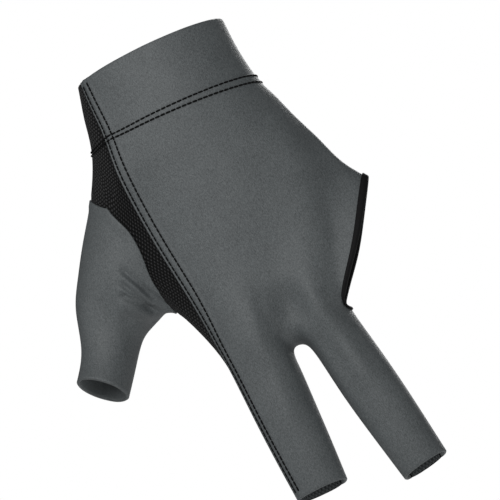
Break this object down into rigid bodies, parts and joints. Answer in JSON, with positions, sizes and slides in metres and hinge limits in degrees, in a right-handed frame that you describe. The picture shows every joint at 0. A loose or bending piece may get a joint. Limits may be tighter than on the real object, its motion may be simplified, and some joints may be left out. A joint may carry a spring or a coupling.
{
  "type": "billiard glove",
  "caption": "Left-hand billiard glove in its worn form: open-ended sleeves for thumb, index and middle finger, stretch cloth back, mesh palm and an open side.",
  "frame": {"origin": "middle of the cuff's open mouth, where the hand goes in", "axes": "+Z from the fingers to the wrist, -Y to the back of the hand, +X to the little finger's side"},
  "size_m": [0.131, 0.0417, 0.1848],
  "materials": {
    "grey_cloth": "matt heathered stretch cloth with a faint sheen",
    "black_mesh": "matt knitted mesh with small raised knots",
    "black_trim": "matt woven tape and sewing thread"
  },
  "bodies": {
    "root": {"cuff_back": "grey_cloth", "cuff_palm": "black_mesh", "back_panel": "grey_cloth", "palm_panel": "black_mesh", "thumb_sleeve": "grey_cloth", "edge_binding": "black_trim"}
  },
  "joints": []
}
